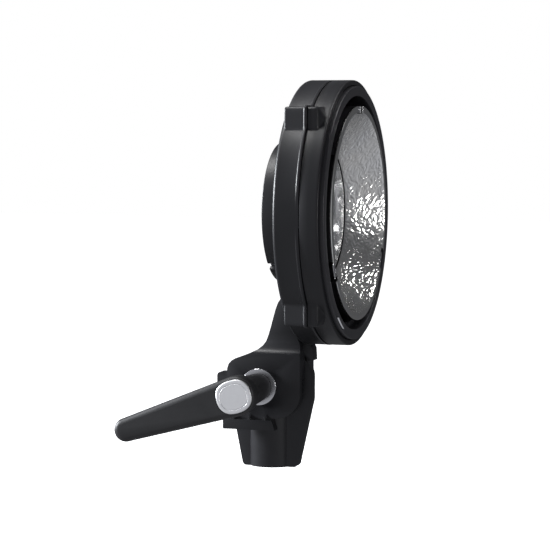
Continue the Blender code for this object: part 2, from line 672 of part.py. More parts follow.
def badge_outline(extra):
    """Rounded oval of the badge, long way along the arm, grown by extra."""
    points = []
    for step in range(BADGE_STEPS):
        angle = 2 * math.pi * step / BADGE_STEPS
        along = math.copysign(abs(math.cos(angle)) ** BADGE_SQUARENESS, math.cos(angle))
        across = math.copysign(abs(math.sin(angle)) ** BADGE_SQUARENESS, math.sin(angle))
        x = -BADGE_SHIFT + (BADGE_HALF_LONG + extra) * along
        z = (BADGE_HALF_WIDE + extra) * across
        points.append((PIVOT_X + x * math.cos(LEVER_DROP) - z * math.sin(LEVER_DROP),
                       PIVOT_Z + x * math.sin(LEVER_DROP) + z * math.cos(LEVER_DROP)))
    return points


def make_lever(handle_material, badge_material, parent):
    """Clamp lever: a hub that widens outwards, a long arm and a plain round badge."""
    arm = prism(lever_outline(), "Y", -59.6 * MM, -47.5 * MM)
    handle = add_object("lever_handle", arm, handle_material, parent)
    cone = [(-16.3, 0.0), (-16.3, 8.0), (-34.0, 8.8), (-50.0, 10.8), (-50.0, 0.0)]
    hub = turned([(a * MM, r * MM) for a, r in cone], "Y", PIVOT, 28, closed=False, phase=HOLE_PHASE)
    join(handle, guide("lever_hub", hub))
    bore = [(-72.0, 0.0), (-72.0, 5.4), (-36.0, 5.4), (-36.0, 2.3),
            (-33.0, 2.3), (-33.0, 6.3), (-10.0, 6.3), (-10.0, 0.0)]
    room = turned([(a * MM, r * MM) for a, r in bore], "Y", PIVOT, 20, closed=False)
    cut(handle, guide("lever_bore", room))
    cut(handle, guide("badge_room", prism(badge_outline(GAP), "Y", -72.0 * MM, -58.4 * MM)))
    badge = prism(badge_outline(0.0), "Y", -60.3 * MM, -58.7 * MM)
    add_object("lever_badge", badge, badge_material, parent)


# ---- assembly ------------------------------------------------------------------------------

def main():
    clear_scene()
    black = make_material("black_plastic", (0.022, 0.022, 0.026), 0.42)
    grey = make_material("ring_plastic", (0.045, 0.046, 0.05), 0.4)
    lever_black = make_material("lever_plastic", (0.035, 0.035, 0.038), 0.5)
    dish_silver = make_material("hammered_aluminium", (0.80, 0.80, 0.79), 0.22, 1.0)
    sleeve_silver = make_material("polished_aluminium", (0.86, 0.86, 0.86), 0.08, 1.0)
    badge_silver = make_material("badge_aluminium", (0.62, 0.62, 0.63), 0.4, 1.0)
    steel = make_material("steel", (0.55, 0.55, 0.57), 0.28, 1.0)
    dark_steel = make_material("dark_steel", (0.10, 0.10, 0.11), 0.4, 1.0)
    brass = make_material("brass", (0.68, 0.52, 0.24), 0.35, 1.0)
    fibre = make_material("friction_fibre", (0.16, 0.11, 0.08), 0.8)

    bracket = add_pivot("bracket_frame", Vector((0.0, 0.0, 0.0)))
    head = add_pivot("tilt_axis", PIVOT)
    ring = add_pivot("lock_ring_axis", RING_CENTRE)
    nut = add_pivot("clamp_nut_axis", PIVOT)
    lever = add_pivot("lever_axis", PIVOT)
    shoe = add_pivot("shoe_axis", KNOB_CENTRE)
    knob = add_pivot("stand_knob_axis", KNOB_CENTRE)

    make_stand_socket(black, bracket)
    make_pivot_bush(steel, bracket)
    make_friction_discs(fibre, bracket)
    make_screw_insert(brass, bracket)
    make_clamp_shoe(brass, shoe)
    make_stand_knob(black, steel, knob)

    make_fork(black, head)
    make_fork_screws(dark_steel, head)
    make_rear_housing(black, head)
    make_lamp_collar(black, head)
    make_front_housing(black, head)
    make_housing_screws(dark_steel, head)
    make_bayonet_drum(black, head)
    make_drum_screws(dark_steel, head)
    make_reflector(dish_silver, head)
    make_reflector_clips(steel, head)
    make_throat_sleeve(sleeve_silver, head)
    make_clamp_bolt(dark_steel, head)
    make_clamp_washer(steel, head)

    make_lock_ring(grey, ring)
    make_ring_catch(steel, ring)

    make_lever_insert(steel, nut)
    make_lever_screw(steel, nut)
    make_lever_spring(steel, nut)
    make_lever(lever_black, badge_silver, lever)


main()
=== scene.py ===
import json
import math

import bmesh
import bpy
import numpy as np
from mathutils import Matrix, Vector, noise


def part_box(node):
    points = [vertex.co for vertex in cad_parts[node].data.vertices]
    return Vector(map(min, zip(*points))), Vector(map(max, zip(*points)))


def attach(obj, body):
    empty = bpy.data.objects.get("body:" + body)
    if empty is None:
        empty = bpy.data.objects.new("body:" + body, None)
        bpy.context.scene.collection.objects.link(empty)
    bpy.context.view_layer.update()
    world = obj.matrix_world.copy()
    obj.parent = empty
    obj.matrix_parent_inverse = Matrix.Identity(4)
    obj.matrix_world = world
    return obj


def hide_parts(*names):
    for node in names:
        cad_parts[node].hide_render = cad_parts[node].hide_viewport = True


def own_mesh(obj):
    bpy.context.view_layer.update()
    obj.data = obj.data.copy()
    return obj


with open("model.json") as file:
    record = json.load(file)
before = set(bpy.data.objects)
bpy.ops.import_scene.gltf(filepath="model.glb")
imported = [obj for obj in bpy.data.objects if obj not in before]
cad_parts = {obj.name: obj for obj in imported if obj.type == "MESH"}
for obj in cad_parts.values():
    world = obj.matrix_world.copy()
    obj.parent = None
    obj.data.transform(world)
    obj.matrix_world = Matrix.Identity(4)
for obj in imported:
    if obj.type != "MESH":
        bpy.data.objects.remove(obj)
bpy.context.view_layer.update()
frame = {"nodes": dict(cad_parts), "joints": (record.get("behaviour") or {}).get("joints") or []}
mm = 0.001
joints = {joint["name"]: joint for joint in frame["joints"]}
ringCentre = Vector((0.0, 0.0, joints["lock_ring_turn"]["pos_m"][2]))
pivot = Vector(joints["tilt"]["pos_m"])
knobCentre = Vector((0.0, 0.0, joints["stand_knob_turn"]["pos_m"][2]))
axisOf = {"X": Vector((1, 0, 0)), "Y": Vector((0, 1, 0)), "Z": Vector((0, 0, 1))}
notchAngles = (90.0, 210.0, 330.0)
print("frame loaded")


def linkMesh(name, bm):
    bmesh.ops.remove_doubles(bm, verts=bm.verts, dist=0.0005 * mm)
    bmesh.ops.recalc_face_normals(bm, faces=bm.faces)
    mesh = bpy.data.meshes.new(name)
    bm.to_mesh(mesh)
    bm.free()
    piece = bpy.data.objects.new(name, mesh)
    bpy.context.scene.collection.objects.link(piece)
    return piece


def applyModifiers(piece):
    graph = bpy.context.evaluated_depsgraph_get()
    done = bpy.data.meshes.new_from_object(piece.evaluated_get(graph))
    piece.modifiers.clear()
    piece.data = done


def smooth(piece, angle=32.0):
    piece.data.shade_smooth()
    piece.data.set_sharp_from_angle(angle=math.radians(angle))


def combine(piece, others, operation):
    # one boolean after another, then the helpers are thrown away
    for other in others:
        step = piece.modifiers.new("step", "BOOLEAN")
        step.operation = operation
        step.object = other
        step.solver = "EXACT"
    applyModifiers(piece)
    for other in others:
        bpy.data.objects.remove(other, do_unlink=True)


def softenEdges(piece, width, segments=3, angle=28.0):
    bevel = piece.modifiers.new("bevel", "BEVEL")
    bevel.width = width
    bevel.segments = segments
    bevel.limit_method = "ANGLE"
    bevel.angle_limit = math.radians(angle)
    bevel.use_clamp_overlap = True
    bevel.miter_outer = "MITER_ARC"
    applyModifiers(piece)


def rounded(points, radius, segments=4, closed=True):
    # puts a small arc on every corner of an outline; radius may be a list, one for each point
    count = len(points)
    radii = radius if isinstance(radius, (list, tuple)) else [radius] * count
    made = []
    for i, point in enumerate(points):
        here = Vector(point)
        if radii[i] <= 0 or (not closed and i in (0, count - 1)):
            made.append(tuple(here))
            continue
        before = Vector(points[i - 1]) - here
        after = Vector(points[(i + 1) % count]) - here
        half = before.angle(after) / 2
        reach = min(radii[i] / math.tan(half), before.length * 0.45, after.length * 0.45)
        start = here + before.normalized() * reach
        end = here + after.normalized() * reach
        for step in range(segments + 1):
            t = step / segments
            made.append(tuple(start * (1 - t) ** 2 + here * (2 * t * (1 - t)) + end * t ** 2))
    return made


def lathe(name, profile, axis, centre, steps, closed=True):
    bm = bmesh.new()
    side = {"X": Vector((0, 0, 1)), "Y": Vector((1, 0, 0)), "Z": Vector((1, 0, 0))}[axis]
    verts = [bm.verts.new(centre + axisOf[axis] * along + side * radius) for along, radius in profile]
    edges = [bm.edges.new(pair) for pair in zip(verts, verts[1:])]
    if closed:
        edges.append(bm.edges.new((verts[-1], verts[0])))
    bmesh.ops.spin(bm, geom=verts + edges, cent=centre, axis=axisOf[axis], angle=2 * math.pi,
                   steps=steps, use_merge=True)
    return linkMesh(name, bm)


def inMm(points):
    return [(a * mm, b * mm) for a, b in points]


def plate(name, outline, axis, low, high):
    bm = bmesh.new()
    if axis == "Y":
        verts = [bm.verts.new((a, low, b)) for a, b in outline]
    elif axis == "X":
        verts = [bm.verts.new((low, a, b)) for a, b in outline]
    else:
        verts = [bm.verts.new((a, b, low)) for a, b in outline]
    face = bm.faces.new(verts)
    grown = bmesh.ops.extrude_face_region(bm, geom=[face])["geom"]
    moved = [item for item in grown if isinstance(item, bmesh.types.BMVert)]
    bmesh.ops.translate(bm, verts=moved, vec=axisOf[axis] * (high - low))
    return linkMesh(name, bm)


def box(name, low, high):
    outline = [(low[0], low[2]), (high[0], low[2]), (high[0], high[2]), (low[0], high[2])]
    return plate(name, outline, "Y", low[1], high[1])


def rod(name, axis, centre, low, high, radius, steps=48):
    return lathe(name, [(low, 0.0), (low, radius), (high, radius), (high, 0.0)], axis, centre, steps, False)


def arc(centre, radius, start, end, steps):
    made = []
    for step in range(steps + 1):
        angle = math.radians(start + (end - start) * step / steps)
        made.append((centre[0] + radius * math.cos(angle), centre[1] + radius * math.sin(angle)))
    return made


def arcBlock(name, xRange, rRange, start, end, steps):
    bm = bmesh.new()
    corners = [(xRange[0], rRange[0]), (xRange[1], rRange[0]), (xRange[1], rRange[1]), (xRange[0], rRange[1])]
    sections = []
    for step in range(steps + 1):
        angle = math.radians(start + (end - start) * step / steps)
        across = Vector((0.0, math.cos(angle), math.sin(angle)))
        sections.append([bm.verts.new(ringCentre + axisOf["X"] * x + across * r) for x, r in corners])
    for one, two in zip(sections, sections[1:]):
        for i in range(4):
            j = (i + 1) % 4
            bm.faces.new((one[i], one[j], two[j], two[i]))
    bm.faces.new(sections[0])
    bm.faces.new(sections[-1])
    return linkMesh(name, bm)


def spoke(name, angle, width, xRange, rRange):
    # a straight block that points outwards from the dish's axis
    piece = box(name, (xRange[0], rRange[0], -width / 2), (xRange[1], rRange[1], width / 2))
    turn = Matrix.Rotation(math.radians(angle), 4, "X")
    piece.data.transform(Matrix.Translation(ringCentre) @ turn)
    return piece


def bridge(name, rings, closed=True, capped=False):
    bm = bmesh.new()
    rows = [[bm.verts.new(point) for point in ring] for ring in rings]
    pairs = list(zip(rows, rows[1:]))
    if closed:
        pairs.append((rows[-1], rows[0]))
    for one, two in pairs:
        for i in range(len(one)):
            j = (i + 1) % len(one)
            bm.faces.new((one[i], one[j], two[j], two[i]))
    if capped:
        bm.faces.new(rows[0])
        bm.faces.new(rows[-1])
    return linkMesh(name, bm)


def settle(piece, body, slot, material, *stoodFor):
    # every piece ends here: its material, its body and the CAD nodes that it stands for
    piece.data.materials.clear()
    piece.data.materials.append(material)
    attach(piece, body)
    if stoodFor:
        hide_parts(*stoodFor)
    return piece


def newGroup(name, inputs, outputs):
    group = bpy.data.node_groups.new(name, "ShaderNodeTree")
    for label, kind, value in inputs:
        socket = group.interface.new_socket(label, in_out="INPUT", socket_type=kind)
        if value is not None:
            socket.default_value = value
    for label, kind in outputs:
        group.interface.new_socket(label, in_out="OUTPUT", socket_type=kind)
    return group, group.nodes.new("NodeGroupInput"), group.nodes.new("NodeGroupOutput")


def mathNode(nodes, links, operation, first, second):
    node = nodes.new("ShaderNodeMath")
    node.operation = operation
    for socket, value in zip(node.inputs, (first, second)):
        if isinstance(value, (int, float)):
            socket.default_value = value
        else:
            links.new(value, socket)
    return node.outputs[0]


def buildMouldGrain():
    # fine spark-eroded grain of a moulded part: a height, and a little unevenness of gloss and tone
    group, entry, exit = newGroup("mouldGrain", [
        ("Grain Scale", "NodeSocketFloat", 2400.0), ("Cloud Scale", "NodeSocketFloat", 35.0),
        ("Roughness", "NodeSocketFloat", 0.4), ("Roughness Spread", "NodeSocketFloat", 0.08),
        ("Tone", "NodeSocketColor", (0.02, 0.02, 0.02, 1)), ("Tone Spread", "NodeSocketFloat", 0.2),
    ], [("Color", "NodeSocketColor"), ("Roughness", "NodeSocketFloat"), ("Height", "NodeSocketFloat")])
    nodes, links = group.nodes, group.links
    place = nodes.new("ShaderNodeTexCoord").outputs["Object"]
    fine = nodes.new("ShaderNodeTexNoise")
    fine.inputs["Detail"].default_value = 2.0
    links.new(place, fine.inputs["Vector"])
    links.new(entry.outputs["Grain Scale"], fine.inputs["Scale"])
    cloud = nodes.new("ShaderNodeTexNoise")
    cloud.inputs["Detail"].default_value = 3.0
    links.new(place, cloud.inputs["Vector"])
    links.new(entry.outputs["Cloud Scale"], cloud.inputs["Scale"])
    centred = mathNode(nodes, links, "SUBTRACT", cloud.outputs["Fac"], 0.5)
    spread = mathNode(nodes, links, "MULTIPLY", centred, entry.outputs["Roughness Spread"])
    rough = mathNode(nodes, links, "ADD", spread, entry.outputs["Roughness"])
    links.new(rough, exit.inputs["Roughness"])
    toneShift = mathNode(nodes, links, "MULTIPLY", centred, entry.outputs["Tone Spread"])
    speck = mathNode(nodes, links, "SUBTRACT", fine.outputs["Fac"], 0.5)
    speckShift = mathNode(nodes, links, "MULTIPLY", speck, entry.outputs["Tone Spread"])
    gain = mathNode(nodes, links, "ADD", mathNode(nodes, links, "ADD", toneShift, speckShift), 1.0)
    tint = nodes.new("ShaderNodeVectorMath")
    tint.operation = "SCALE"
    links.new(entry.outputs["Tone"], tint.inputs[0])
    links.new(gain, tint.inputs["Scale"])
    links.new(tint.outputs[0], exit.inputs["Color"])
    links.new(fine.outputs["Fac"], exit.inputs["Height"])
    return group


def buildEdgeWear():
    # lighter, smoother colour where handling rubs the outward corners
    group, entry, exit = newGroup("edgeWear", [
        ("Color", "NodeSocketColor", (0.02, 0.02, 0.02, 1)),
        ("Worn Color", "NodeSocketColor", (0.1, 0.1, 0.1, 1)),
        ("Amount", "NodeSocketFloat", 0.5), ("Patch Scale", "NodeSocketFloat", 180.0),
    ], [("Color", "NodeSocketColor")])
    nodes, links = group.nodes, group.links
    point = nodes.new("ShaderNodeNewGeometry").outputs["Pointiness"]
    ramp = nodes.new("ShaderNodeMapRange")
    ramp.inputs["From Min"].default_value = 0.51
    ramp.inputs["From Max"].default_value = 0.62
    links.new(point, ramp.inputs["Value"])
    patch = nodes.new("ShaderNodeTexNoise")
    links.new(nodes.new("ShaderNodeTexCoord").outputs["Object"], patch.inputs["Vector"])
    links.new(entry.outputs["Patch Scale"], patch.inputs["Scale"])
    broken = mathNode(nodes, links, "MULTIPLY", ramp.outputs[0], patch.outputs["Fac"])
    mask = mathNode(nodes, links, "MULTIPLY", broken, entry.outputs["Amount"])
    mix = nodes.new("ShaderNodeMix")
    mix.data_type = "RGBA"
    links.new(mask, mix.inputs["Factor"])
    links.new(entry.outputs["Color"], mix.inputs[6])
    links.new(entry.outputs["Worn Color"], mix.inputs[7])
    links.new(mix.outputs[2], exit.inputs["Color"])
    return group


def buildTurnedLines():
    # fine tool marks round an axis: rings of slightly uneven height and gloss
    group, entry, exit = newGroup("turnedLines", [
        ("Stretch", "NodeSocketVector", (900.0, 12.0, 12.0)), ("Roughness", "NodeSocketFloat", 0.2),
        ("Roughness Spread", "NodeSocketFloat", 0.15),
    ], [("Roughness", "NodeSocketFloat"), ("Height", "NodeSocketFloat")])
    nodes, links = group.nodes, group.links
    scaled = nodes.new("ShaderNodeVectorMath")
    scaled.operation = "MULTIPLY"
    links.new(nodes.new("ShaderNodeTexCoord").outputs["Object"], scaled.inputs[0])
    links.new(entry.outputs["Stretch"], scaled.inputs[1])
    lines = nodes.new("ShaderNodeTexNoise")
    lines.inputs["Scale"].default_value = 1.0
    lines.inputs["Detail"].default_value = 4.0
    links.new(scaled.outputs[0], lines.inputs["Vector"])
    centred = mathNode(nodes, links, "SUBTRACT", lines.outputs["Fac"], 0.5)
    spread = mathNode(nodes, links, "MULTIPLY", centred, entry.outputs["Roughness Spread"])
    links.new(mathNode(nodes, links, "ADD", spread, entry.outputs["Roughness"]), exit.inputs["Roughness"])
    links.new(lines.outputs["Fac"], exit.inputs["Height"])
    return group


mouldGrain = buildMouldGrain()
edgeWear = buildEdgeWear()
turnedLines = buildTurnedLines()


def newMaterial(name, metallic, specular=0.5):
    material = bpy.data.materials.new(name)
    material.use_nodes = True
    shader = material.node_tree.nodes["Principled BSDF"]
    shader.inputs["Metallic"].default_value = metallic
    shader.inputs["Specular IOR Level"].default_value = specular
    return material, material.node_tree.nodes, material.node_tree.links, shader


def addBump(nodes, links, shader, height, strength, distance):
    bump = nodes.new("ShaderNodeBump")
    bump.inputs["Strength"].default_value = strength
    bump.inputs["Distance"].default_value = distance
    links.new(height, bump.inputs["Height"])
    links.new(bump.outputs["Normal"], shader.inputs["Normal"])


def plasticMaterial(look):
    material, nodes, links, shader = newMaterial(look["name"], 0.0, look["specular"])
    grain = nodes.new("ShaderNodeGroup")
    grain.node_tree = mouldGrain
    grain.inputs["Grain Scale"].default_value = look["grain"]
    grain.inputs["Roughness"].default_value = look["roughness"]
    grain.inputs["Roughness Spread"].default_value = look["glossSpread"]
    grain.inputs["Tone"].default_value = (*look["color"], 1)
    grain.inputs["Tone Spread"].default_value = look["toneSpread"]
    wear = nodes.new("ShaderNodeGroup")
    wear.node_tree = edgeWear
    wear.inputs["Worn Color"].default_value = (*look["worn"], 1)
    wear.inputs["Amount"].default_value = look["wear"]
    links.new(grain.outputs["Color"], wear.inputs["Color"])
    links.new(wear.outputs["Color"], shader.inputs["Base Color"])
    links.new(grain.outputs["Roughness"], shader.inputs["Roughness"])
    addBump(nodes, links, shader, grain.outputs["Height"], look["bump"], 0.05 * mm)
    return material


def metalMaterial(look):
    material, nodes, links, shader = newMaterial(look["name"], 1.0)
    lines = nodes.new("ShaderNodeGroup")
    lines.node_tree = turnedLines
    lines.inputs["Stretch"].default_value = look["stretch"]
    lines.inputs["Roughness"].default_value = look["roughness"]
    lines.inputs["Roughness Spread"].default_value = look["glossSpread"]
    links.new(lines.outputs["Roughness"], shader.inputs["Roughness"])
    wear = nodes.new("ShaderNodeGroup")
    wear.node_tree = edgeWear
    wear.inputs["Color"].default_value = (*look["color"], 1)
    wear.inputs["Worn Color"].default_value = (*look["worn"], 1)
    wear.inputs["Amount"].default_value = 0.6
    links.new(wear.outputs["Color"], shader.inputs["Base Color"])
    addBump(nodes, links, shader, lines.outputs["Height"], look["bump"], 0.02 * mm)
    return material


def hammeredMaterial(look):
    # the pits are real; this adds the mill's fine grain and a warm, slightly uneven sheen
    material, nodes, links, shader = newMaterial(look["name"], 1.0)
    place = nodes.new("ShaderNodeTexCoord").outputs["Object"]
    cloud = nodes.new("ShaderNodeTexNoise")
    cloud.inputs["Scale"].default_value = look["cloud"]
    links.new(place, cloud.inputs["Vector"])
    tint = nodes.new("ShaderNodeMix")
    tint.data_type = "RGBA"
    tint.inputs[6].default_value = (*look["cool"], 1)
    tint.inputs[7].default_value = (*look["warm"], 1)
    links.new(cloud.outputs["Fac"], tint.inputs["Factor"])
    links.new(tint.outputs[2], shader.inputs["Base Color"])
    rough = nodes.new("ShaderNodeMapRange")
    rough.inputs["To Min"].default_value = look["roughness"][0]
    rough.inputs["To Max"].default_value = look["roughness"][1]
    links.new(cloud.outputs["Fac"], rough.inputs["Value"])
    links.new(rough.outputs[0], shader.inputs["Roughness"])
    fine = nodes.new("ShaderNodeTexNoise")
    fine.inputs["Scale"].default_value = look["grain"]
    links.new(place, fine.inputs["Vector"])
    addBump(nodes, links, shader, fine.outputs["Fac"], look["bump"], 0.05 * mm)
    return material


blackPlastic = plasticMaterial({
    "name": "satinBlackPlastic", "color": (0.0075, 0.0076, 0.0095), "roughness": 0.42, "glossSpread": 0.10,
    "grain": 2200.0, "toneSpread": 0.25, "worn": (0.025, 0.025, 0.028),
    "wear": 0.3, "bump": 0.35, "specular": 0.36})
ringPlastic = plasticMaterial({
    "name": "lockRingPlastic", "color": (0.018, 0.018, 0.021), "roughness": 0.38, "glossSpread": 0.08,
    "grain": 2600.0, "toneSpread": 0.2, "worn": (0.09, 0.09, 0.10),
    "wear": 0.5, "bump": 0.25, "specular": 0.4})
# darker than the other black plastic: partly the drum's own black, partly painted shade for the deep gap
# inside the ring where the drum sits
drumPlasticPaintedShade = plasticMaterial({
    "name": "drumBlackPlasticPaintedShade", "color": (0.003, 0.003, 0.0038), "roughness": 0.36, "glossSpread": 0.08,
    "grain": 2600.0, "toneSpread": 0.2, "worn": (0.03, 0.03, 0.034),
    "wear": 0.4, "bump": 0.2, "specular": 0.25})
leverPlastic = plasticMaterial({
    "name": "leverSandedPlastic", "color": (0.012, 0.012, 0.0132), "roughness": 0.50, "glossSpread": 0.10,
    "grain": 1500.0, "toneSpread": 0.35, "worn": (0.09, 0.09, 0.094),
    "wear": 0.6, "bump": 0.55, "specular": 0.4})
fibreDisc = plasticMaterial({
    "name": "pressedFibre", "color": (0.12, 0.075, 0.045), "roughness": 0.85, "glossSpread": 0.1,
    "grain": 900.0, "toneSpread": 0.8, "worn": (0.2, 0.14, 0.09), "wear": 0.3, "bump": 0.7, "specular": 0.3})
plainSteel = metalMaterial({
    "name": "zincSteel", "color": (0.62, 0.62, 0.64), "worn": (0.8, 0.8, 0.8), "roughness": 0.26,
    "glossSpread": 0.12, "stretch": (90.0, 300.0, 90.0), "bump": 0.04})
darkSteel = metalMaterial({
    "name": "blackOxideSteel", "color": (0.07, 0.07, 0.075), "worn": (0.35, 0.35, 0.36), "roughness": 0.36,
    "glossSpread": 0.2, "stretch": (300.0, 300.0, 300.0), "bump": 0.2})
turnedBrass = metalMaterial({
    "name": "turnedBrass", "color": (0.66, 0.50, 0.23), "worn": (0.85, 0.72, 0.42), "roughness": 0.3,
    "glossSpread": 0.2, "stretch": (60.0, 900.0, 60.0), "bump": 0.2})
badgeMetal = metalMaterial({
    "name": "matteBadgeAluminium", "color": (0.84, 0.84, 0.85), "worn": (0.93, 0.93, 0.93), "roughness": 0.46,
    "glossSpread": 0.15, "stretch": (700.0, 60.0, 700.0), "bump": 0.5})
polishedSleeve = metalMaterial({
    "name": "polishedAluminium", "color": (0.90, 0.90, 0.90), "worn": (0.95, 0.95, 0.95), "roughness": 0.10,
    "glossSpread": 0.08, "stretch": (500.0, 20.0, 20.0), "bump": 0.06})
hammeredSilver = hammeredMaterial({
    "name": "hammeredAluminium", "cool": (0.86, 0.87, 0.88), "warm": (0.88, 0.86, 0.81), "cloud": 60.0,
    "roughness": (0.15, 0.21), "grain": 1800.0, "bump": 0.08})
clipMetal = metalMaterial({
    "name": "brightClipSteel", "color": (0.82, 0.82, 0.84), "worn": (0.95, 0.95, 0.95), "roughness": 0.16,
    "glossSpread": 0.1, "stretch": (200.0, 200.0, 200.0), "bump": 0.1})
print("materials made")


housing = {
    "radius": 75.5 * mm, "lugHalfY": 58.5 * mm, "lugHalfZ": 60.3 * mm, "lugSharpness": 70.0,
    "fillet": 0.7 * mm, "rearFillet": 1.8 * mm, "rib": 1.15 * mm, "lugRib": 0.7 * mm,
    "seatRadii": (67.5 * mm, 69.5 * mm), "wallHole": 39.4 * mm,
    "lugScrew": (54.4 * mm, 56.1 * mm),
}


def housingAngles():
    # closer together round the lugs
    spans = ((0.0, 37.9, 2.0), (38.0, 54.6, 0.5), (56.0, 89.9, 2.0))
    quarter = [angle for first, last, gap in spans for angle in np.arange(first, last, gap)]
    return np.array([q + 90.0 * k if k % 2 == 0 else 90.0 * (k + 1) - q for k in range(4) for q in quarter])


def housingRings(sections):
    # each section is (x, round radius, growth of the square lugs or None, share of the rib's height)
    # the rib's share stands tall beside the lugs and dies out at the top and sides
    angles = np.unique(np.round(housingAngles() % 360.0, 4))
    turns = np.radians(angles)
    across, up = np.cos(turns), np.sin(turns)
    folded = np.degrees(np.arctan2(np.abs(up), np.abs(across)))
    rise = np.clip(np.minimum((folded - 5.0) / 33.0, (86.0 - folded) / 32.0), 0.0, 1.0)
    power = housing["lugSharpness"]
    rings = []
    for x, radius, growth, ribShare in sections:
        radii = np.full(len(turns), radius) + ribShare * housing["rib"] * rise
        if growth is not None:
            halfY = housing["lugHalfY"] + growth + ribShare * housing["lugRib"]
            halfZ = housing["lugHalfZ"] + growth + ribShare * housing["lugRib"]
            square = (np.abs(across / halfY) ** power + np.abs(up / halfZ) ** power) ** (-1 / power)
            nearLug = np.abs(folded - 46.0) < 10.0
            radii = np.where(nearLug, np.maximum(radii, square), radii)
        rings.append([(x, float(r * a), ringCentre.z + float(r * u)) for r, a, u in zip(radii, across, up)])
    return rings


def lugScrewCentres():
    y, z = housing["lugScrew"]
    return [Vector((0.0, side * y, ringCentre.z + up * z)) for side in (-1, 1) for up in (-1, 1)]


def quarterRound(x, radius, size, steps, start, end):
    # points of a quarter-round edge, as (x, radius) pairs
    made = []
    for step in range(steps + 1):
        angle = math.radians(start + (end - start) * step / steps)
        made.append((x + size * math.cos(angle), radius + size * math.sin(angle)))
    return made


def makeRearHousing():
    low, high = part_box("rear_housing")
    back, seam = low.x, high.x
    radius, rear = housing["radius"], housing["rearFillet"]
    hole, seat = housing["wallHole"], housing["seatRadii"]
    wallFront = back + 2.4 * mm
    lugBack = back + 1.8 * mm
    ribBack = seam - 1.7 * mm
    tiny = 0.15 * mm
    outside = [(back, hole + tiny, None, 0)]
    outside += [(x, r, None, 0) for x, r in quarterRound(back + rear, radius - rear, rear, 6, 180.0, 90.0)]
    outside += [(lugBack + 0.02 * mm, radius, -6.0 * mm, 0), (lugBack + 0.06 * mm, radius, -0.8 * mm, 0),
                (lugBack + 0.25 * mm, radius, -0.35 * mm, 0), (lugBack + 0.6 * mm, radius, -0.1 * mm, 0),
                (lugBack + 1.1 * mm, radius, 0.0, 0), (ribBack - 0.5 * mm, radius, 0.0, 0),
                (ribBack - 0.2 * mm, radius, 0.0, 0.1), (ribBack, radius, 0.0, 0.35),
                (ribBack + 0.1 * mm, radius, 0.0, 0.7), (ribBack + 0.3 * mm, radius, 0.0, 0.92),
                (ribBack + 0.6 * mm, radius, 0.0, 1.0), (seam - 0.45 * mm, radius, 0.0, 1.0),
                (seam - 0.15 * mm, radius, 0.0, 0.9), (seam, radius, 0.0, 0.65)]
    inside = [(seam, 73.3 * mm), (wallFront, 73.3 * mm), (wallFront, seat[1]), (seam, seat[1]),
              (seam, seat[0]), (wallFront, seat[0]), (wallFront, hole + tiny), (wallFront - tiny, hole),
              (back + tiny, hole)]
    inside = [(x, r, None, 0) for x, r in inside]
    piece = bridge("rearHousing", housingRings(outside + inside))
    cutters = []
    for centre in lugScrewCentres():
        stops = [(lugBack - 1.5 * mm, 0.0), (lugBack - 1.5 * mm, 3.5 * mm), (lugBack - 0.05 * mm, 3.5 * mm),
                 (lugBack + 0.45 * mm, 3.0 * mm), (28.6 * mm, 3.0 * mm), (28.6 * mm, 1.7 * mm),
                 (40 * mm, 1.7 * mm), (40 * mm, 0.0)]
        cutters.append(lathe("cutter", stops, "X", centre, 28, False))
    combine(piece, cutters, "DIFFERENCE")
    smooth(piece, 30)
    return settle(piece, "head", "black_plastic", blackPlastic, "rear_housing")


def makeFrontHousing():
    low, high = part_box("front_housing")
    back, front = low.x, high.x
    radius, fillet = housing["radius"], housing["fillet"]
    lip, bore = 72.4 * mm, 74.0 * mm
    chamferStart, chamferEnd = 44.5 * mm, 48.0 * mm
    outside = [(back, bore, None, 0), (back, radius - 0.35 * mm, -0.35 * mm, 0),
               (back + 0.1 * mm, radius - 0.1 * mm, -0.1 * mm, 0), (back + 0.35 * mm, radius, 0.0, 0),
               (chamferStart - 0.4 * mm, radius, 0.0, 0), (chamferStart, radius, -0.08 * mm, 0),
               (chamferStart + 0.4 * mm, radius, -0.5 * mm, 0)]
    for step in range(1, 8):
        t = step / 7
        x = chamferStart + 0.4 * mm + (chamferEnd - chamferStart - 0.4 * mm) * t
        outside.append((x, radius, (-0.5 - 5.6 * t) * mm, 0))
    corner = quarterRound(front - fillet, radius - fillet, fillet, 4, 90.0, 0.0)
    outside += [(x, r, None, 0) for x, r in corner]
    inside = [(front, lip + 0.4 * mm), (front - 0.12 * mm, lip + 0.12 * mm), (front - 0.4 * mm, lip),
              (front - 2.0 * mm, lip), (front - 2.0 * mm, bore)]
    inside = [(x, r, None, 0) for x, r in inside]
    piece = bridge("frontHousing", housingRings(outside + inside))
    smooth(piece, 30)
    return settle(piece, "head", "black_plastic", blackPlastic, "front_housing")


def makeCollar():
    low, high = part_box("lamp_collar")
    back = low.x
    profile = rounded([(back, 37.6 * mm), (back, 40.0 * mm), (23.5 * mm, 40.0 * mm), (23.5 * mm, 39.1 * mm),
                       (high.x, 39.1 * mm), (high.x, 37.6 * mm)],
                      [0.35 * mm, 0.6 * mm, 0.2 * mm, 0, 0.2 * mm, 0.2 * mm])
    piece = lathe("lampCollar", profile, "X", ringCentre, 144)
    cutters = [spoke("cutter", angle, 5.0 * mm, (5.0 * mm, 23.0 * mm), (36.0 * mm, 42.0 * mm))
               for angle in (48.0, 228.0)]
    combine(piece, cutters, "DIFFERENCE")
    softenEdges(piece, 0.25 * mm, 2, 50)
    smooth(piece)
    return settle(piece, "head", "black_plastic", blackPlastic, "lamp_collar")


